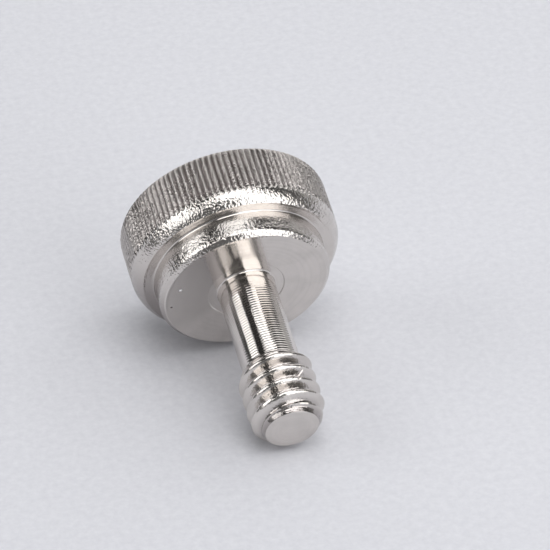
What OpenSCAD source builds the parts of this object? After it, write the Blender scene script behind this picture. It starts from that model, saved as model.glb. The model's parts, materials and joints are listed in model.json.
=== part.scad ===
// Knurled thumb screw with a stepped collar and a relieved neck, turned from one bar.
// It lies as it comes to rest: on the near rim of its head and on the end of its thread.

/* [Head] */
// Diameter over the crests of the knurl
head_d = 17.6; // [15:0.1:26]
// Length of the knurled head along its axis
head_h = 5.5; // [3:0.1:12]
// Radius of the rounded edge next to the collar
near_edge_r = 1.9; // [0.8:0.05:4]
// Width of that rounded edge, from the crests of the knurl in to its corner with the step
near_edge_w = 0.72; // [0.3:0.02:0.8]
// Radius of the rounded edge at the top of the head
far_edge_r = 0.5; // [0.1:0.05:2]
// Width of the flat step between the rounded edge and the collar
step_w = 0.88; // [0.4:0.02:3]

/* [Knurl] */
// Distance between two crests, along the rim
knurl_pitch = 0.5; // [0.3:0.05:1.5]
// Depth of the knurl's grooves
knurl_depth = 0.2; // [0.05:0.01:0.4]
// Width of the flat left on each crest
knurl_land = 0.08; // [0.04:0.01:0.2]

/* [Collar] */
// Height of the collar, from the head's step to the seat
collar_h = 2.4; // [1:0.1:6]
// Radius of the collar's outer edge at the seat
collar_edge_r = 0.45; // [0.1:0.05:0.8]
// Radius of the hollow corner between the collar and the step
collar_root_r = 0.2; // [0.05:0.05:0.4]
// How far the shallow recess in the seat reaches past the thread, on each side
recess_margin = 0.08; // [0.05:0.01:1]
// Depth of the recess in the seat
recess_depth = 0.1; // [0.05:0.05:0.5]

/* [Shank] */
// Length from the seat to the tip
shank_len = 14.5; // [10:0.1:40]
// Diameter of the relieved neck
neck_d = 4.8; // [3.5:0.1:5.6]
// Radius of the hollow corner where the neck meets the seat
neck_root_r = 0.15; // [0.05:0.05:0.6]

/* [Thread] */
// Diameter over the thread's crests
thread_d = 6.35; // [6:0.05:9]
// Distance from one crest to the next
thread_pitch = 1.27; // [0.7:0.01:1.8]
// Length of the threaded end, with its shoulder and its tip
thread_len = 6.2; // [4:0.1:9]
// Size of the 45 degree chamfer at the tip
tip_chamfer = 0.98; // [0.3:0.02:1.5]

/* [Hidden] */
$fn = 96;

// Radii, measured from the screw's axis
head_r = head_d / 2;
step_r = head_r - near_edge_w;
collar_r = step_r - step_w;
neck_r = neck_d / 2;
thread_r = thread_d / 2;
recess_r = thread_r + recess_margin;
tip_r = thread_r - tip_chamfer;

// Places along the axis: the seat is at 0, the tip is at shank_len and the head is below 0
step_z = -collar_h;
head_top_z = step_z - head_h;
shoulder_z = shank_len - thread_len;
tip_start_z = shank_len - tip_chamfer;

// Centre of the arc that rounds the head's near edge, and the angle that the arc turns through
rim_r = head_r - near_edge_r;
rim_turn = acos(1 - near_edge_w / near_edge_r);
rim_z = step_z - near_edge_r * sin(rim_turn);

// Form of a 60 degree thread, as shares of its pitch
flank_angle = 30;
thread_depth = 0.6 * thread_pitch;
crest_w = 0.25 * thread_pitch;

// Straight stretch between the shoulder and the tip, and the grooves that fit in it
shoulder_end_z = shoulder_z + thread_r - neck_r;
groove_count = floor((tip_start_z - shoulder_end_z - crest_w) / thread_pitch);

// The flanks of two neighbouring knurl grooves cross this far from the axis, above the land
teeth = round(PI * head_d / knurl_pitch);
knurl_apex_r = head_r + knurl_depth * knurl_land / (knurl_pitch - knurl_land);

// Resting tilt: one straight line touches the head's near edge and the last crest of the thread
span = norm([tip_start_z - rim_z, rim_r - thread_r]);
lie_tilt = atan2(rim_r - thread_r, tip_start_z - rim_z) + asin(near_edge_r / span);

// Height of the seat's centre above the ground, and how far the part reaches before and behind it
seat_height = thread_r * cos(lie_tilt) + tip_start_z * sin(lie_tilt);
front_reach = tip_r * sin(lie_tilt) + shank_len * cos(lie_tilt);
back_reach = (head_r - far_edge_r) * sin(lie_tilt) - (head_top_z + far_edge_r) * cos(lie_tilt) + far_edge_r;

// Half section of the head: its near edge is an arc that meets the step at a corner
module head_section() {
  translate([0, head_top_z]) square([head_r - far_edge_r, far_edge_r]);
  translate([head_r - far_edge_r, head_top_z + far_edge_r]) circle(r = far_edge_r);
  translate([0, head_top_z + far_edge_r]) square([head_r, rim_z - head_top_z - far_edge_r]);
  translate([0, rim_z]) square([step_r, step_z - rim_z]);
  intersection() {
    translate([rim_r, rim_z]) circle(r = near_edge_r);
    translate([0, rim_z]) square([head_r, step_z - rim_z]);
  }
}

// Half section of a disc with both of its outer edges rounded
module disc_section(r, z_low, z_high, r_low, r_high) {
  translate([0, z_low]) square([r - r_low, r_low]);
  translate([r - r_low, z_low + r_low]) circle(r = r_low);
  translate([0, z_low + r_low]) square([r, z_high - z_low - r_low - r_high]);
  translate([0, z_high - r_high]) square([r - r_high, r_high]);
  translate([r - r_high, z_high - r_high]) circle(r = r_high);
}

// Half section of the filling in a hollow corner, with the corner at r and z
module corner_section(r, z, corner_r) {
  translate([r, z]) difference() {
    square(corner_r);
    translate([corner_r, corner_r]) circle(r = corner_r);
  }
}

// The collar starts inside the head, so its lower end is buried there
module collar_section() {
  difference() {
    disc_section(collar_r, rim_z, 0, collar_edge_r, collar_edge_r);
    translate([0, -recess_depth]) square([recess_r, 2 * recess_depth]);
  }
  corner_section(collar_r, step_z, collar_root_r);
}

module neck_section() {
  translate([0, step_z]) square([neck_r, shoulder_z - step_z]);
  corner_section(neck_r, -recess_depth, neck_root_r);
}

// One groove of the thread, cut a little past the crest so that it opens cleanly
module groove_section() {
  past = thread_depth / 4;
  root_half = (thread_pitch - crest_w) / 2 - thread_depth * tan(flank_angle);
  mouth_half = root_half + (thread_depth + past) * tan(flank_angle);
  polygon([
    [thread_r - thread_depth, -root_half],
    [thread_r + past, -mouth_half],
    [thread_r + past, mouth_half],
    [thread_r - thread_depth, root_half],
  ]);
}

// The thread's true section, turned as rings at its pitch, with a 45 degree shoulder and tip
module thread_section() {
  difference() {
    polygon([
      [0, shoulder_z],
      [neck_r, shoulder_z],
      [thread_r, shoulder_end_z],
      [thread_r, tip_start_z],
      [tip_r, shank_len],
      [0, shank_len],
    ]);
    for (i = [0 : 1 : groove_count - 1])
      translate([0, tip_start_z - crest_w / 2 - (i + 0.5) * thread_pitch]) groove_section();
  }
}

// Cross-section of the knurl, with a groove between two crests where the head rests
module knurl_outline() {
  polygon([
    for (i = [0 : 2 * teeth - 1])
      let (a = i * 180 / teeth - 90, r = i % 2 == 0 ? head_r - knurl_depth : knurl_apex_r)
        [r * cos(a), r * sin(a)]
  ]);
}

// The turned section, with the knurl cut into the widest part of it
module upright_screw() {
  intersection() {
    rotate_extrude() {
      head_section();
      collar_section();
      neck_section();
      thread_section();
    }
    translate([0, 0, head_top_z]) linear_extrude(shank_len - head_top_z) knurl_outline();
  }
}

module screw() {
  color([0.75, 0.73, 0.70])
    translate([0, (front_reach - back_reach) / 2, seat_height])
      rotate([90 + lie_tilt, 0, 0])
        upright_screw();
}

screw();
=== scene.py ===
import json
import math
from collections import namedtuple

import bpy
import numpy as np
from mathutils import Matrix, Quaternion, Vector


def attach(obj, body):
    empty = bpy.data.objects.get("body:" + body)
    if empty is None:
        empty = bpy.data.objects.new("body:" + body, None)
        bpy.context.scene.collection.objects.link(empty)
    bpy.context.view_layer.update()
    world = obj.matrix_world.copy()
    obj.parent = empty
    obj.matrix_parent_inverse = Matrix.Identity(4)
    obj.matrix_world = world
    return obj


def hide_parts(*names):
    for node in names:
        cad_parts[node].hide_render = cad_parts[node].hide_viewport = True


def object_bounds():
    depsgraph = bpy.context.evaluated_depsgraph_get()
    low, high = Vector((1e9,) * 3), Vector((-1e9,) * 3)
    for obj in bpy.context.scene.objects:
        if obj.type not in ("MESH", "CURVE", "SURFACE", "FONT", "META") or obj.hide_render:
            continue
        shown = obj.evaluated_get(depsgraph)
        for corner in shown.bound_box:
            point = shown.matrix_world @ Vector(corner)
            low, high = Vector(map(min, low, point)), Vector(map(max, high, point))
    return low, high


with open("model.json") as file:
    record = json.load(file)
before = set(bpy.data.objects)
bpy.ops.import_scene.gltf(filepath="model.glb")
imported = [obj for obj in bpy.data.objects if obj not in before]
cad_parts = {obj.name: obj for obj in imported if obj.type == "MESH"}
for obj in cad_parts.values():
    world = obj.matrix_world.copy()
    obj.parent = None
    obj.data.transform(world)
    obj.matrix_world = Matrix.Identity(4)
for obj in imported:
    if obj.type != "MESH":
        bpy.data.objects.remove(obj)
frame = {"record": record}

cad_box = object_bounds()
MM = 0.001

# The screw's place and its two outer sizes come from the frame
mounts = {mount["name"]: mount for mount in frame["record"]["mounts"]}
TIP_WARD = Vector(mounts["thread"]["axis"]).normalized()
THREAD_MIDDLE = Vector(mounts["thread"]["pos_m"])
THREAD_R = mounts["thread"]["dims"]["r_mm"]
HEAD_R = (cad_box[1].x - cad_box[0].x) / 2 / MM

# Turned sizes in millimetres and slopes in degrees
# Along the axis the seat is at 0, the tip is positive and the head negative
HEAD_H = 5.5
FAR_EDGE_R = 0.5
NEAR_EDGE_R = 1.9
NEAR_EDGE_W = 0.72
COLLAR_H = 2.4
COLLAR_R = 7.2
COLLAR_ROOT_R = 0.15
LIP_BEND_R = 0.3
LIP_SLOPE = 50
LIP_END_R = 6.8
RECESS_MARGIN = 0.08
RECESS_DEPTH = 0.06
RECESS_WALL_W = 0.05
NECK_R = 2.4
NECK_ROOT_R = 0.15
NECK_FLARE = 0.03
NECK_FLARE_END_Z = 1.2
SHANK_LEN = 14.5
THREAD_LEN = 6.2
TIP_CHAMFER = 0.98
TIP_SLOPE = 39
TIP_EDGE_R = 0.2
TIP_CORNER_R = 0.08
TIP_CORNER_START = 60

STEP_Z = -COLLAR_H
STEP_R = HEAD_R - NEAR_EDGE_W
TOP_Z = STEP_Z - HEAD_H
RECESS_R = THREAD_R + RECESS_MARGIN
SHOULDER_Z = SHANK_LEN - THREAD_LEN
SHOULDER_END_Z = SHOULDER_Z + THREAD_R - NECK_R
TIP_START_Z = SHANK_LEN - TIP_CHAMFER
TIP_R = THREAD_R - TIP_CHAMFER
SEAT_CENTRE = THREAD_MIDDLE - TIP_WARD * ((SHOULDER_END_Z + TIP_START_Z) / 2 * MM)

# Knurl: straight grooves with rounded crests, which fade out on the first part of the near edge
TEETH = 111
KNURL_DEPTH = 0.2
CREST_ROUNDING = 0.25
KNURL_FADE_Z = (-4.0, -3.2)

# Small differences between the teeth: spread of their depth as a share, and of their waves in millimetres
SEED = 7
DEPTH_SPREAD = 0.05
WAVE_SPREAD = 0.010

# Where handling has worn the knurl: degrees round the axis, half width in degrees, share of depth lost
WORN_PLACES = ((32, 34, 0.5), (172, 24, 0.55))

# Thread: right-hand, with one crest at this place on the upper side, and how it starts and is rounded
THREAD_PITCH = 1.27
THREAD_DEPTH = 0.762
CREST_Z = 9.22
CREST_EDGE_R = 0.12
THREAD_START_LEN = 0.25
SHOULDER_LIFT = 0.02

# Low ridges where the thread runs out on the tip: a wave with one overtone, sunk into the tip's slope
TIP_RIDGE_PITCH = 0.5
TIP_RIDGE_HEIGHT = 0.05
TIP_RIDGE_Z = 14.02
TIP_RIDGE_OVERTONE = 0.35
TIP_RIDGE_SINK = 1.13

# A nick across one groove of the thread: its two ends (degrees round the axis, z), depth, width and burr
NICK_ENDS = ((56.0, 10.6), (71.0, 11.7))
NICK_DEPTH = 0.12
NICK_WIDTH = 0.16
NICK_BURR = 1.5

# Feed marks that the turning tool left on the neck
FEED_PITCH = 0.24
FEED_HEIGHT = 0.012
FEED_START_Z = 0.6
FEED_FULL_Z = 2.0
FEED_END_LEN = 0.1

# Two specks on the seat: distance from the axis, degrees round it, radius, shade
SPECKS = (
    (5.79, 167.6, 0.15, (1.0, 1.0, 1.0, 1.0)),
    (6.33, 187.7, 0.11, (0.22, 0.20, 0.20, 1.0)),
)

# Shares of its radius at which a speck starts and is full
SPECK_EDGES = (1.3, 0.5)

# Dirt and painted shade in grooves: share on the crests, share at the bottom, and how deep the bottom is
KNURL_DIRT_AND_SHADE = (0.34, 0.66, KNURL_DEPTH)
THREAD_DIRT_AND_SHADE = (0.0, 1.0, 1.7)

# Painted shade where the metal mirrors the floor in the screw's shadow: its middle in degrees round the
# axis, the half widths where it starts to fade and where it ends, its share of the dark colour, and the
# two places along the axis between which it lies
Film = namedtuple("Film", "place half_widths share ends_z")
# Painted shade on the side that mirrors the shadowed floor, not a film on the metal
PAINTED_SHADES = (
    Film(215.0, (10.0, 90.0), 0.5, (-4.0, -0.08)),
    Film(165.0, (40.0, 80.0), 0.33, (-0.01, 0.01)),
)

# A stretch of the outline: points (r, z), columns round the axis, shaping function, share of plating
# grain at its two ends, share of broad dimples and roughness
Stretch = namedtuple("Stretch", "points columns shape grain_ends dimples rough")

# What the mesh tells the material at each vertex: path is the outline's length so far, groove the dirt
# and painted shade
VERTEX_VALUES = ("path", "grain", "dimples", "rough", "groove")

# Columns round the axis: eight across each tooth on the knurl, valley first, and fewer elsewhere
TOOTH_PHASES = (0.03, 0.22, 0.39, 0.47, 0.53, 0.61, 0.78, 0.97)
FINE = TEETH * len(TOOTH_PHASES)
MEDIUM = TEETH * 2
COARSE = TEETH

# Rows along the axis, the innermost rings of the two flat ends and the gaps between stretches
NECK_ROWS_PER_MARK = 6
THREAD_ROWS = 112
TOP_RING_R = 0.8
TOP_EDGE_GAP = 0.4
TIP_RING_R = 0.5
TIP_FACE_GAP = 0.02
THREAD_END_GAP = 0.05

# Angle from which an edge is shaded sharp, and the length of outline that the texture's v covers once
SHARP_ANGLE = 30
UV_LENGTH = 60.0

# Colours of the plate and of its dirt and painted shade, and the two shades between which the floor and
# the cards are mottled
NICKEL = (0.71, 0.674, 0.642, 1.0)
# Dark colour for dirt, and for painted shade in grooves and where the metal mirrors the shadowed floor
GRIME_AND_SHADE = (0.13, 0.105, 0.11, 1.0)
FLOOR_SHADES = ((0.562, 0.566, 0.609, 1.0), (0.739, 0.744, 0.782, 1.0))
CARD_SHADES = ((0.10, 0.10, 0.10, 1.0), (0.16, 0.16, 0.16, 1.0))

# Heights in metres of the plate's grain, dents and turning marks
GRAIN_HEIGHT = 0.000065
DENT_HEIGHT = 0.00008
MARK_HEIGHT = 0.000008

# Turning marks: strength of their bump, and how fast they change along the outline and round the axis
MARK_STRENGTH = 0.3
MARKS_ALONG = 4.0
MARKS_AROUND = 60.0

# What the plate makes of a noise or a share of dirt and painted shade: the range that counts, and the
# range that it becomes
GRIME_AND_SHADE_RANGES = ((0.12, 0.8), (0.0, 0.85))
STREAK_RANGES = ((0.45, 0.8), (0.0, 0.10))
STAIN_RANGES = ((0.45, 0.75), (0.0, 0.14))
ROUGH_RANGES = ((0.0, 1.0), (0.75, 1.25))

# Camera: distance in metres and scale at the seat's centre, and the pixel where the photograph has it
IMAGE_SIZE = 550
SEAT_PIXEL = (246.3, 289.4)
PIXELS_PER_MM = 12.214
CAMERA_DISTANCE = 0.350
CAMERA_AZIMUTH = math.radians(15.77)
CAMERA_ELEVATION = math.radians(33.76)
SENSOR_MM = 36.0

# Lamps that all face the screw from one distance in metres. An azimuth of 0 is behind the screw and 90 is
# on the right; across and along are the degrees that a lamp covers, and a radiance of 1 looks white in a
# mirror. Surfaces of the kind that hidden_from names, matt or mirror-like, get nothing from that lamp
Lamp = namedtuple("Lamp", "name azimuth elevation roll across along radiance hidden_from", defaults=("",))
LAMP_DISTANCE = 0.7
LAMPS = (
    Lamp("top_softbox", -10, 79, 0, 32, 38, 1.45),
    Lamp("overhead_softbox", 172, 67, 0, 48, 30, 2.8),
    Lamp("front_softbox", 150, 22, 0, 47, 50, 2.15),
    Lamp("back_softbox", 16, 30, 0, 60, 40, 1.2),
    Lamp("right_softbox", 62, 14, 0, 56, 24, 0.3),
    Lamp("left_softbox", -78, 31, -10, 42, 29, 1.9),
    Lamp("low_left_card", -118, 22, 0, 40, 44, 1.6, hidden_from="diffuse"),
    Lamp("right_fill", 88, 38, 0, 50, 40, 1.3, hidden_from="glossy"),
)

# Studio walls: the direction towards which they are paler, and how pale they are at two places along it
WALL_WAY = (0.8, 0.6, -0.7)
WALL_ENDS = (-0.6, 0.9)
WALL_SHADES = (0.03, 0.17)

# Half the width of the floor in metres
FLOOR_HALF = 1.5

# Two dark cards that slope up and away from the screw: the distances of foot and top in metres, and the
# heights of each in millimetres at some azimuths, which are counted as for the lamps
CARD_FOOT, CARD_TOP = 0.050, 0.200
CARD_STEP = 2
RIGHT_CARD = ((97, 40), (117, 44), (120, 16), (128, 9))
FRONT_CARD = ((176, 135), (216, 135), (220, 5), (230, 12), (240, 26), (260, 54), (286, 70))


def smooth_step(x, low, high):
    """0 below low and 1 above high, with a smooth rise between them."""
    s = np.clip((x - low) / (high - low), 0.0, 1.0)
    return s * s * (3.0 - 2.0 * s)


def soft_min(a, b, width):
    """The smaller of a and b, with the corner between them rounded over the given width."""
    h = np.clip(0.5 + 0.5 * (b - a) / width, 0.0, 1.0)
    return b + (a - b) * h - width * h * (1.0 - h)


def arc(centre_r, centre_z, radius, start_deg, end_deg, steps):
    """Points (r, z) on an arc; 0 degrees points away from the axis and 90 degrees towards the tip."""
    a = np.radians(np.linspace(start_deg, end_deg, steps))
    return np.column_stack([centre_r + radius * np.cos(a), centre_z + radius * np.sin(a)])


def line(r0, z0, r1, z1, steps, inner=False):
    """Points (r, z) on a straight line; with inner, the two ends are left out."""
    s = np.linspace(0.0, 1.0, steps + 2)[1:-1] if inner else np.linspace(0.0, 1.0, steps)
    return np.column_stack([r0 + (r1 - r0) * s, z0 + (z1 - z0) * s])


def column_angles(columns):
    """Angles of the columns, measured from local x to local y; a knurl valley is at the lowest point."""
    if columns == FINE:
        phases = np.arange(TEETH)[:, None] + np.array(TOOTH_PHASES)[None, :]
        return phases.ravel() * 2 * math.pi / TEETH - math.pi / 2
    return np.arange(columns) * 2 * math.pi / columns - math.pi / 2


def make_teeth():
    """Depth of each tooth's groove, less where the knurl is worn, and two waves of its crest."""
    rng = np.random.default_rng(SEED)
    angle = np.arange(TEETH) * 360.0 / TEETH - 90.0
    depth = KNURL_DEPTH * (1.0 + rng.normal(0.0, DEPTH_SPREAD, TEETH))
    for place, half_width, share in WORN_PLACES:
        depth *= 1.0 - share * (1.0 - smooth_step(np.abs(angle - place), 0.0, half_width))
    return depth, rng.normal(0.0, WAVE_SPREAD, (TEETH, 2))


tooth_depth, tooth_wave = make_teeth()


def knurl_radius(z):
    """Radius of the knurled surface at each fine column, with small differences between the teeth."""
    from_crest = 2 * np.abs(np.tile(TOOTH_PHASES, TEETH) - 0.5)
    tooth = np.repeat(np.arange(TEETH), len(TOOTH_PHASES))
    valley = np.hypot(from_crest, CREST_ROUNDING) - CREST_ROUNDING
    valley = valley / (math.hypot(1.0, CREST_ROUNDING) - CREST_ROUNDING)
    along = (z - TOP_Z) / HEAD_H * math.pi
    wave = tooth_wave[tooth, 0] * np.cos(along) + tooth_wave[tooth, 1] * np.sin(along)
    fade = 1.0 - smooth_step(z, *KNURL_FADE_Z)
    return HEAD_R - tooth_depth[tooth] * valley * fade - np.abs(wave)


def shape_plain(r, z, angle):
    """An even ring."""
    return np.full_like(angle, r), np.full_like(angle, z)


def shape_knurl(r, z, angle):
    """A ring that the knurl's grooves cut into."""
    return np.minimum(r, knurl_radius(z)), np.full_like(angle, z)


def shape_neck(r, z, angle):
    """Helical feed marks, shallow arcs with a ridge between two, on a neck that flares at the seat."""
    flare = NECK_FLARE * (1 - smooth_step(z, 0.0, NECK_FLARE_END_Z))
    turns = z / FEED_PITCH - angle / (2 * math.pi)
    from_valley = 2 * np.abs(turns - np.floor(turns) - 0.5)
    fade = smooth_step(z, FEED_START_Z, FEED_FULL_Z)
    fade *= 1 - smooth_step(z, SHOULDER_Z - FEED_END_LEN, SHOULDER_Z + FEED_END_LEN)
    return r + flare + FEED_HEIGHT * fade * (2 * from_valley ** 2 - 1), np.full_like(angle, z)


def thread_radius(z, angle):
    """Rounded 60 degree thread inside the envelope of the shoulder and the chamfered tip."""
    turns = (z - CREST_Z) / THREAD_PITCH - (angle - math.pi / 2) / (2 * math.pi)
    from_crest = 2 * np.abs(turns - np.round(turns))
    groove = THREAD_R - THREAD_DEPTH * smooth_step(from_crest, 0.0, 1.0)
    shoulder = np.minimum(THREAD_R, NECK_R + SHOULDER_LIFT + (z - SHOULDER_Z))
    tip = TIP_R + (SHANK_LEN - z) * math.tan(math.radians(TIP_SLOPE))
    ridge = 2 * math.pi * (z - TIP_RIDGE_Z) / TIP_RIDGE_PITCH
    wave = math.sin(ridge) + TIP_RIDGE_OVERTONE * math.sin(2 * ridge)
    tip -= TIP_RIDGE_HEIGHT * (TIP_RIDGE_SINK + wave)
    envelope = soft_min(shoulder, tip, TIP_EDGE_R)
    return soft_min(envelope, groove, CREST_EDGE_R)


def nick_cut(z, angle):
    """Depth of the nick at each column: a short gash whose two sides stand up a little as a burr."""
    (angle_a, z_a), (angle_b, z_b) = NICK_ENDS
    start = np.array([math.radians(angle_a) * THREAD_R, z_a])
    way = np.array([math.radians(angle_b) * THREAD_R, z_b]) - start
    from_start = np.column_stack([angle * THREAD_R, np.full_like(angle, z)]) - start
    share = np.clip(from_start @ way / (way @ way), 0.0, 1.0)
    off = np.linalg.norm(from_start - share[:, None] * way, axis=1) / NICK_WIDTH
    return NICK_DEPTH * (1.0 - NICK_BURR * off ** 2) * np.exp(-off ** 2)


def shape_thread(r, z, angle):
    """A ring of the threaded end, which grows out of the neck, less the nick."""
    start = smooth_step(z, SHOULDER_Z, SHOULDER_Z + THREAD_START_LEN)
    radius = NECK_R + (thread_radius(z, angle) - NECK_R) * start
    return np.minimum(radius - nick_cut(z, angle), THREAD_R), np.full_like(angle, z)


def edge(side_r, end_r, end_z, bend_r, slope, bend_steps, flat_steps):
    """Points of an edge: an arc that leaves the side at side_r, then a flat slope to (end_r, end_z)."""
    bend = arc(side_r - bend_r, 0.0, bend_r, 0, slope, bend_steps)
    bend[:, 1] += end_z - bend[-1, 1] - (bend[-1, 0] - end_r) / math.tan(math.radians(slope))
    flat = line(bend[-1, 0], bend[-1, 1], end_r, end_z, flat_steps + 1)
    return np.vstack([bend, flat[1:]])


def head_stretches():
    """Top, rounded top edge, knurled side, knurled rim and the flat step."""
    top_r = HEAD_R - FAR_EDGE_R
    top = line(TOP_RING_R, TOP_Z, top_r - TOP_EDGE_GAP, TOP_Z, steps=6)
    top_edge = arc(top_r, TOP_Z + FAR_EDGE_R, FAR_EDGE_R, -90, 0, steps=7)
    rim_turn = math.acos(1.0 - NEAR_EDGE_W / NEAR_EDGE_R)
    rim_z = STEP_Z - NEAR_EDGE_R * math.sin(rim_turn)
    rim = arc(HEAD_R - NEAR_EDGE_R, rim_z, NEAR_EDGE_R, 0, math.degrees(rim_turn), steps=18)
    side = line(HEAD_R, top_edge[-1, 1], HEAD_R, rim_z, steps=11, inner=True)
    step = line(STEP_R, STEP_Z, COLLAR_R + COLLAR_ROOT_R, STEP_Z, steps=3, inner=True)
    return [
        Stretch(top, MEDIUM, shape_plain, grain_ends=(0.1, 0.1), dimples=0.1, rough=0.22),
        Stretch(top_edge, FINE, shape_knurl, grain_ends=(0.5, 0.3), dimples=0.0, rough=0.28),
        Stretch(side, FINE, shape_knurl, grain_ends=(1.0, 1.7), dimples=0.0, rough=0.28),
        Stretch(rim, FINE, shape_knurl, grain_ends=(0.9, 1.0), dimples=0.0, rough=0.12),
        Stretch(step, MEDIUM, shape_plain, grain_ends=(0.1, 0.1), dimples=0.05, rough=0.23),
    ]


def collar_stretches():
    """Hollow corner, side and edge of the collar, its seat and the shallow recess round the neck."""
    root_r, root_z = COLLAR_R + COLLAR_ROOT_R, STEP_Z + COLLAR_ROOT_R
    hollow = arc(root_r, root_z, COLLAR_ROOT_R, 270, 180, steps=6)
    lip = edge(COLLAR_R, LIP_END_R, 0.0, LIP_BEND_R, LIP_SLOPE, bend_steps=6, flat_steps=5)
    side = line(COLLAR_R, hollow[-1, 1], COLLAR_R, lip[0, 1], steps=12, inner=True)
    seat = line(LIP_END_R, 0, RECESS_R, 0, steps=13, inner=True)
    floor_r, floor_z = RECESS_R - RECESS_WALL_W, -RECESS_DEPTH
    recess_wall = line(RECESS_R, 0, floor_r, floor_z, steps=3)
    recess = line(floor_r, floor_z, NECK_R + NECK_ROOT_R, floor_z, steps=3, inner=True)
    return [
        Stretch(hollow, MEDIUM, shape_plain, grain_ends=(0.1, 0.1), dimples=0.1, rough=0.15),
        Stretch(side, MEDIUM, shape_plain, grain_ends=(0.1, 0.9), dimples=0.3, rough=0.18),
        Stretch(lip, MEDIUM, shape_plain, grain_ends=(0.8, 0.8), dimples=0.0, rough=0.12),
        Stretch(seat, MEDIUM, shape_plain, grain_ends=(0.05, 0.05), dimples=0.05, rough=0.13),
        Stretch(recess_wall, MEDIUM, shape_plain, grain_ends=(0.05, 0.05), dimples=0.0, rough=0.20),
        Stretch(recess, COARSE, shape_plain, grain_ends=(0.05, 0.05), dimples=0.0, rough=0.12),
    ]


def shank_stretches():
    """Neck, threaded end and tip."""
    neck_start = NECK_ROOT_R - RECESS_DEPTH
    root_r = NECK_R + NECK_FLARE + NECK_ROOT_R
    neck_root = arc(root_r, neck_start, NECK_ROOT_R, 270, 180, steps=6)
    neck_rows = round((SHOULDER_Z - neck_start) / FEED_PITCH * NECK_ROWS_PER_MARK)
    neck = line(NECK_R, neck_start, NECK_R, SHOULDER_Z, neck_rows, inner=True)
    thread = line(THREAD_R, SHOULDER_Z, THREAD_R, SHANK_LEN - THREAD_END_GAP, THREAD_ROWS)
    corner_r = TIP_R - TIP_CORNER_R * math.cos(math.radians(TIP_CORNER_START))
    corner_z = SHANK_LEN - TIP_CORNER_R
    tip_edge = arc(corner_r, corner_z, TIP_CORNER_R, TIP_CORNER_START, 90, steps=3)
    tip = line(corner_r - TIP_FACE_GAP, SHANK_LEN, TIP_RING_R, SHANK_LEN, steps=5)
    return [
        Stretch(neck_root, COARSE, shape_plain, grain_ends=(0.05, 0.05), dimples=0.0, rough=0.15),
        Stretch(neck, COARSE, shape_neck, grain_ends=(0.05, 0.05), dimples=0.0, rough=0.09),
        Stretch(thread, MEDIUM, shape_thread, grain_ends=(0.1, 0.4), dimples=0.15, rough=0.17),
        Stretch(tip_edge, MEDIUM, shape_plain, grain_ends=(0.1, 0.1), dimples=0.1, rough=0.20),
        Stretch(tip, MEDIUM, shape_plain, grain_ends=(0.3, 0.3), dimples=0.2, rough=0.22),
    ]


def groove_dirt_and_shade(shape, r, z, ring_r):
    """Share of dirt and painted shade on one ring: on the knurl's crests and in grooves; a ring without
    them has none.
    """
    if shape not in (shape_knurl, shape_thread):
        return np.zeros_like(ring_r)
    # The dark colour in grooves is partly dirt and partly painted shade
    on_crest, at_bottom, depth = KNURL_DIRT_AND_SHADE if shape is shape_knurl else THREAD_DIRT_AND_SHADE
    on_crest *= 1.0 - smooth_step(z, *KNURL_FADE_Z)
    return on_crest + (at_bottom - on_crest) * np.clip((r - ring_r) / depth, 0.0, 1.0)


def add_painted_shades(dirt_and_shade, z, angle):
    """The given shares of dirt and painted shade, or the share of painted shade that lies there where
    that is more.
    """
    for painted_shade in PAINTED_SHADES:
        # Painted shade: darkens the side that mirrors the shadowed floor
        if painted_shade.ends_z[0] < z < painted_shade.ends_z[1]:
            away = np.abs(np.degrees(angle) - painted_shade.place)
            dirt_and_shade = np.maximum(dirt_and_shade, painted_shade.share * (1.0 - smooth_step(away, *painted_shade.half_widths)))
    return dirt_and_shade


def build_rings(stretches):
    """One ring of points for each point of the outline, with the values that the material reads there."""
    rings = []
    path, last = 0.0, np.array([0.0, TOP_Z])
    for stretch in stretches:
        angle = column_angles(stretch.columns)
        grains = np.linspace(*stretch.grain_ends, len(stretch.points))
        for (r, z), grain in zip(stretch.points, grains):
            path += float(np.hypot(r - last[0], z - last[1]))
            last = np.array([r, z])
            ring_r, ring_z = stretch.shape(r, z, angle)
            xyz = np.column_stack([ring_r * np.cos(angle), ring_r * np.sin(angle), ring_z])
            even = (path, grain, stretch.dimples, stretch.rough)
            # Share of the dark colour: dirt and painted shade in grooves, and painted shade where the
            # metal mirrors the shadowed floor
            dirt_and_shade = add_painted_shades(groove_dirt_and_shade(stretch.shape, r, z, ring_r), z, angle)
            values = np.column_stack([np.full_like(angle, value) for value in even] + [dirt_and_shade])
            rings.append((xyz, values))
    return rings


def bridge(first, n_first, second, n_second):
    """Faces between two rings whose column counts are equal or whole multiples."""
    faces = []
    if n_first == n_second:
        for j in range(n_first):
            k = (j + 1) % n_first
            faces.append((first + j, first + k, second + k, second + j))
        return faces
    fine, n_fine, coarse, n_coarse = first, n_first, second, n_second
    if n_second > n_first:
        fine, n_fine, coarse, n_coarse = second, n_second, first, n_first
    ratio = n_fine // n_coarse
    for j in range(n_coarse):
        here, after = coarse + j, coarse + (j + 1) % n_coarse
        for i in range(ratio):
            a = fine + j * ratio + i
            b = fine + (j * ratio + i + 1) % n_fine
            faces.append((a, b, here) if i < ratio // 2 else (a, b, after))
            if i == ratio // 2 - 1:
                faces.append((b, after, here))
    if n_second > n_first:
        faces = [face[::-1] for face in faces]
    return faces


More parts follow.
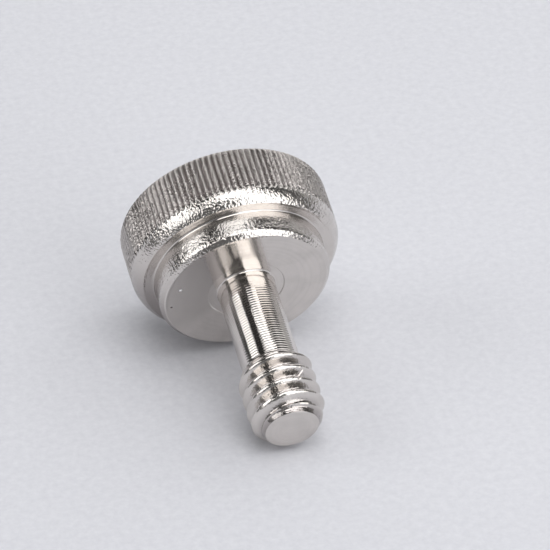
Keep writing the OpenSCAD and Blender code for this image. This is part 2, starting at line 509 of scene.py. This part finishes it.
def skin(rings):
    """Vertices, faces and the vertex values of the closed surface over the rings."""
    counts = [len(xyz) for xyz, _ in rings]
    starts = np.concatenate([[0], np.cumsum(counts)])
    first_pole, last_pole = int(starts[-1]), int(starts[-1]) + 1
    points = np.vstack([xyz for xyz, _ in rings] + [[[0, 0, TOP_Z]], [[0, 0, SHANK_LEN]]])
    values = np.vstack([v for _, v in rings] + [rings[0][1][:1], rings[-1][1][:1]])
    n_first, n_last, last_start = counts[0], counts[-1], int(starts[-2])
    faces = [(first_pole, (j + 1) % n_first, j) for j in range(n_first)]
    for i in range(len(rings) - 1):
        faces += bridge(int(starts[i]), counts[i], int(starts[i + 1]), counts[i + 1])
    faces += [(last_start + j, last_start + (j + 1) % n_last, last_pole) for j in range(n_last)]
    return points, faces, values


def wrap_uv(mesh, points, path):
    """Texture coordinates: u round the axis, past 1 on faces across the seam, and v along the outline."""
    corners = np.zeros(len(mesh.loops), dtype=np.int32)
    mesh.loops.foreach_get("vertex_index", corners)
    u = np.arctan2(points[:, 1], points[:, 0])[corners] / (2 * math.pi) + 0.5
    sizes = np.zeros(len(mesh.polygons), dtype=np.int32)
    mesh.polygons.foreach_get("loop_total", sizes)
    face = np.repeat(np.arange(len(sizes)), sizes)
    low = np.full(len(sizes), np.inf)
    high = np.full(len(sizes), -np.inf)
    np.minimum.at(low, face, u)
    np.maximum.at(high, face, u)
    u[(high - low > 0.5)[face] & (u < 0.5)] += 1.0
    layer = mesh.uv_layers.new(name="around")
    layer.data.foreach_set("uv", np.column_stack([u, path[corners] / UV_LENGTH]).ravel())


def place_matrix(place, x_axis, y_axis, z_axis):
    """Matrix of a thing at this place whose axes point these ways."""
    return Matrix.Translation(place) @ Matrix((x_axis, y_axis, z_axis)).transposed().to_4x4()


def screw_matrix():
    """From the screw's own frame in millimetres, with z towards the tip, to the row frame in metres."""
    x_axis = Vector((1, 0, 0))
    return place_matrix(SEAT_CENTRE, x_axis, TIP_WARD.cross(x_axis), TIP_WARD) @ Matrix.Scale(MM, 4)


def add_object(name, data):
    """New object in the scene."""
    thing = bpy.data.objects.new(name, data)
    bpy.context.scene.collection.objects.link(thing)
    return thing


class Nodes:
    """Short way to add and link the shader nodes of a material or a world."""

    def __init__(self, owner):
        owner.use_nodes = True
        self.tree = owner.node_tree
        self.tree.nodes.clear()

    def add(self, kind, inputs=None, **settings):
        """New node; each input is a socket to link from, or the value to set."""
        node = self.tree.nodes.new(kind)
        for key, value in settings.items():
            setattr(node, key, value)
        for key, value in (inputs or {}).items():
            if isinstance(value, bpy.types.NodeSocket):
                self.tree.links.new(value, node.inputs[key])
            else:
                node.inputs[key].default_value = value
        return node

    def attribute(self, name):
        return self.add("ShaderNodeAttribute", attribute_name=name).outputs["Fac"]

    def noise(self, place, **inputs):
        return self.add("ShaderNodeTexNoise", {"Vector": place, **inputs}).outputs["Fac"]

    def math(self, operation, a, b):
        return self.add("ShaderNodeMath", {0: a, 1: b}, operation=operation).outputs[0]

    def scale(self, vector, factor):
        inputs = {0: vector, "Scale": factor}
        return self.add("ShaderNodeVectorMath", inputs, operation="SCALE").outputs[0]

    def remap(self, value, source, target, kind="LINEAR"):
        """Value moved from the source's range to the target's."""
        inputs = {"Value": value, "From Min": source[0], "From Max": source[1]}
        inputs.update({"To Min": target[0], "To Max": target[1]})
        return self.add("ShaderNodeMapRange", inputs, interpolation_type=kind).outputs[0]

    def mix(self, share, a, b):
        """Colour a, or colour b where the share is 1."""
        inputs = {"Factor": share, "A": a, "B": b}
        return self.add("ShaderNodeMix", inputs, data_type="RGBA").outputs["Result"]

    def bump(self, height, distance, **inputs):
        return self.add("ShaderNodeBump", {"Height": height, "Distance": distance, **inputs}).outputs[0]


# The noise that the plate's finish is made of
Textures = namedtuple("Textures", "marks nodules dents patches")


def plate_textures(n, coords):
    """Turning marks that run round the axis, nodules of plating, broad dents and patches."""
    along = n.add("ShaderNodeCombineXYZ", {"X": n.attribute("path")}).outputs[0]
    ring = {0: n.scale(along, MARKS_ALONG), 1: n.scale(coords, MARKS_AROUND)}
    ring = n.add("ShaderNodeVectorMath", ring, operation="ADD").outputs[0]
    return Textures(
        marks=n.noise(ring, Scale=1.0, Detail=3.0, Roughness=0.6),
        nodules=n.noise(coords, Scale=4700.0, Detail=1.0, Roughness=0.5, Distortion=0.25),
        dents=n.noise(coords, Scale=2600.0, Detail=2.0, Roughness=0.6),
        patches=n.noise(coords, Scale=500.0, Detail=3.0),
    )


def plate_bump(n, textures):
    """Normal with grain and dents in the shares that the mesh gives, and with turning marks."""
    grain = n.math("MULTIPLY", textures.nodules, n.attribute("grain"))
    normal = n.bump(grain, GRAIN_HEIGHT, Strength=1.0)
    dents = n.math("MULTIPLY", textures.dents, n.attribute("dimples"))
    normal = n.bump(dents, DENT_HEIGHT, Strength=1.0, Normal=normal)
    return n.bump(textures.marks, MARK_HEIGHT, Strength=MARK_STRENGTH, Normal=normal)


def plate_shade(n, textures):
    """Nickel, darkened by grime and painted shade in grooves, by painted shade where it mirrors the
    shadowed floor, by fine streaks and by faint stains.
    """
    # The groove value gives dirt and painted shade in grooves, and painted shade where the metal mirrors
    # the shadowed floor
    grime_and_shade = n.remap(n.attribute("groove"), *GRIME_AND_SHADE_RANGES, kind="SMOOTHSTEP")
    streaks = n.remap(textures.marks, *STREAK_RANGES)
    stains = n.remap(textures.patches, *STAIN_RANGES)
    dirt_and_shade = n.math("MAXIMUM", grime_and_shade, n.math("ADD", streaks, stains))
    return n.mix(dirt_and_shade, NICKEL, GRIME_AND_SHADE)


def plate_roughness(n, textures):
    """The mesh's roughness, a little more or less in patches."""
    share = n.remap(textures.patches, *ROUGH_RANGES)
    return n.math("MULTIPLY", share, n.attribute("rough"))


def add_speck(n, coords, shade, rough, speck):
    """Lay one speck over the shade and the roughness that are there."""
    r, angle_deg, radius, colour = speck
    angle = math.radians(angle_deg)
    place = screw_matrix() @ Vector((r * math.cos(angle), r * math.sin(angle), 0.0))
    away = n.add("ShaderNodeVectorMath", {0: coords, 1: place}, operation="DISTANCE").outputs["Value"]
    edges = [share * radius * MM for share in SPECK_EDGES]
    cover = n.remap(away, edges, (0.0, 1.0), kind="SMOOTHSTEP")
    return n.mix(cover, shade, colour), n.math("MAXIMUM", cover, rough)


def nickel_material():
    """Bright nickel plate: slightly warm, with turning marks round the axis and grain on the edges."""
    material = bpy.data.materials.new("nickel_plate")
    n = Nodes(material)
    coords = n.add("ShaderNodeTexCoord").outputs["Object"]
    textures = plate_textures(n, coords)
    shade, rough = plate_shade(n, textures), plate_roughness(n, textures)
    for speck in SPECKS:
        shade, rough = add_speck(n, coords, shade, rough, speck)
    inputs = {"Base Color": shade, "Roughness": rough, "Normal": plate_bump(n, textures)}
    inputs["Tangent"] = n.add("ShaderNodeTangent", direction_type="UV_MAP", uv_map="around").outputs[0]
    inputs.update({"Metallic": 1.0, "Anisotropic": 0.7, "Anisotropic Rotation": 0.25})
    shader = n.add("ShaderNodeBsdfPrincipled", inputs)
    n.add("ShaderNodeOutputMaterial", {"Surface": shader.outputs[0]})
    return material


def mottled_material(name, shades, rough, **mottle):
    """Matt material with a faint mottle between two shades."""
    material = bpy.data.materials.new(name)
    n = Nodes(material)
    coords = n.add("ShaderNodeTexCoord").outputs["Object"]
    shade = n.mix(n.noise(coords, **mottle), *shades)
    shader = n.add("ShaderNodeBsdfPrincipled", {"Base Color": shade, "Roughness": rough})
    n.add("ShaderNodeOutputMaterial", {"Surface": shader.outputs[0]})
    return material


def make_screw():
    """The whole screw as one closed mesh, with the values that its material reads."""
    stretches = head_stretches() + collar_stretches() + shank_stretches()
    points, faces, values = skin(build_rings(stretches))
    mesh = bpy.data.meshes.new("screw_finish")
    mesh.from_pydata(points.tolist(), [], faces)
    for column, name in enumerate(VERTEX_VALUES):
        layer = mesh.attributes.new(name, "FLOAT", "POINT")
        layer.data.foreach_set("value", values[:, column].astype(np.float32))
    wrap_uv(mesh, points, values[:, VERTEX_VALUES.index("path")])
    mesh.transform(screw_matrix())
    mesh.shade_smooth()
    mesh.set_sharp_from_angle(angle=math.radians(SHARP_ANGLE))
    mesh.validate()
    mesh.materials.append(nickel_material())
    return add_object("screw_finish", mesh)


def make_floor():
    """Pale, slightly cool paper."""
    half = FLOOR_HALF
    mesh = bpy.data.meshes.new("floor")
    corners = [(-half, -half, 0), (half, -half, 0), (half, half, 0), (-half, half, 0)]
    mesh.from_pydata(corners, [], [(0, 1, 2, 3)])
    mottle = {"Scale": 1500.0, "Detail": 4.0, "Roughness": 0.65}
    mesh.materials.append(mottled_material("pale_floor", FLOOR_SHADES, rough=0.9, **mottle))
    add_object("floor", mesh)


def make_card(name, outline, material):
    """Dark card that only the metal mirrors, as in a photographer's studio."""
    corners, heights = np.array(outline, dtype=float).T
    azimuths = np.arange(corners[0], corners[-1] + CARD_STEP, CARD_STEP)
    turns = np.radians(azimuths)
    ways = np.column_stack([np.sin(turns), np.cos(turns), np.zeros_like(turns)])
    top = ways * CARD_TOP
    top[:, 2] = np.interp(azimuths, corners, heights) * MM
    count = len(azimuths)
    faces = [(i, i + 1, count + i + 1, count + i) for i in range(count - 1)]
    mesh = bpy.data.meshes.new(name)
    mesh.from_pydata(np.vstack([ways * CARD_FOOT, top]).tolist(), [], faces)
    mesh.materials.append(material)
    card = add_object(name, mesh)
    card.visible_camera = False
    card.visible_diffuse = False
    card.visible_shadow = False


def make_camera():
    """Camera that puts the seat's centre on its pixel in the photograph, at the photograph's scale."""
    sin_a, cos_a = math.sin(CAMERA_AZIMUTH), math.cos(CAMERA_AZIMUTH)
    sin_e, cos_e = math.sin(CAMERA_ELEVATION), math.cos(CAMERA_ELEVATION)
    right = Vector((cos_a, -sin_a, 0))
    forward = Vector((cos_e * sin_a, cos_e * cos_a, -sin_e))
    up = right.cross(forward)
    metres_per_pixel = MM / PIXELS_PER_MM
    offset_x = (SEAT_PIXEL[0] - IMAGE_SIZE / 2) * metres_per_pixel
    offset_y = (IMAGE_SIZE / 2 - SEAT_PIXEL[1]) * metres_per_pixel
    place = SEAT_CENTRE - right * offset_x - up * offset_y - forward * CAMERA_DISTANCE
    data = bpy.data.cameras.new("camera")
    data.sensor_width = SENSOR_MM
    data.lens = CAMERA_DISTANCE / (metres_per_pixel * IMAGE_SIZE) * SENSOR_MM
    camera = add_object("camera", data)
    camera.matrix_world = place_matrix(place, right, up, -forward)
    bpy.context.scene.camera = camera


def make_lamp(lamp):
    """Rectangular lamp that faces the screw."""
    a, e = math.radians(lamp.azimuth), math.radians(lamp.elevation)
    towards = Vector((math.sin(a) * math.cos(e), math.cos(a) * math.cos(e), math.sin(e)))
    data = bpy.data.lights.new(lamp.name, "AREA")
    data.shape = "RECTANGLE"
    data.size = 2 * LAMP_DISTANCE * math.tan(math.radians(lamp.across / 2))
    data.size_y = 2 * LAMP_DISTANCE * math.tan(math.radians(lamp.along / 2))
    data.energy = lamp.radiance * math.pi * data.size * data.size_y
    turn = towards.to_track_quat("Z", "Y") @ Quaternion((0, 0, 1), math.radians(lamp.roll))
    place = SEAT_CENTRE + towards * LAMP_DISTANCE
    thing = add_object(lamp.name, data)
    thing.matrix_world = Matrix.Translation(place) @ turn.to_matrix().to_4x4()
    thing.visible_diffuse = lamp.hidden_from != "diffuse"
    thing.visible_glossy = lamp.hidden_from != "glossy"


def make_world():
    """Dim studio walls, paler behind the screw on the right and towards the floor."""
    world = bpy.data.worlds.new("studio")
    n = Nodes(world)
    direction = n.add("ShaderNodeTexCoord").outputs["Generated"]
    along = n.add("ShaderNodeVectorMath", {0: direction, 1: WALL_WAY}, operation="DOT_PRODUCT")
    shade = n.remap(along.outputs["Value"], WALL_ENDS, WALL_SHADES)
    background = n.add("ShaderNodeBackground", {"Color": shade})
    n.add("ShaderNodeOutputWorld", {"Surface": background.outputs[0]})
    bpy.context.scene.world = world


bpy.context.scene.view_settings.view_transform = "Standard"
make_camera()
screw = make_screw()
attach(screw, "root")
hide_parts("screw")
make_floor()
dark_card = mottled_material("dark_card", CARD_SHADES, rough=1.0, Scale=300.0)
make_card("right_card", RIGHT_CARD, dark_card)
make_card("front_card", FRONT_CARD, dark_card)
for lamp in LAMPS:
    make_lamp(lamp)
make_world()
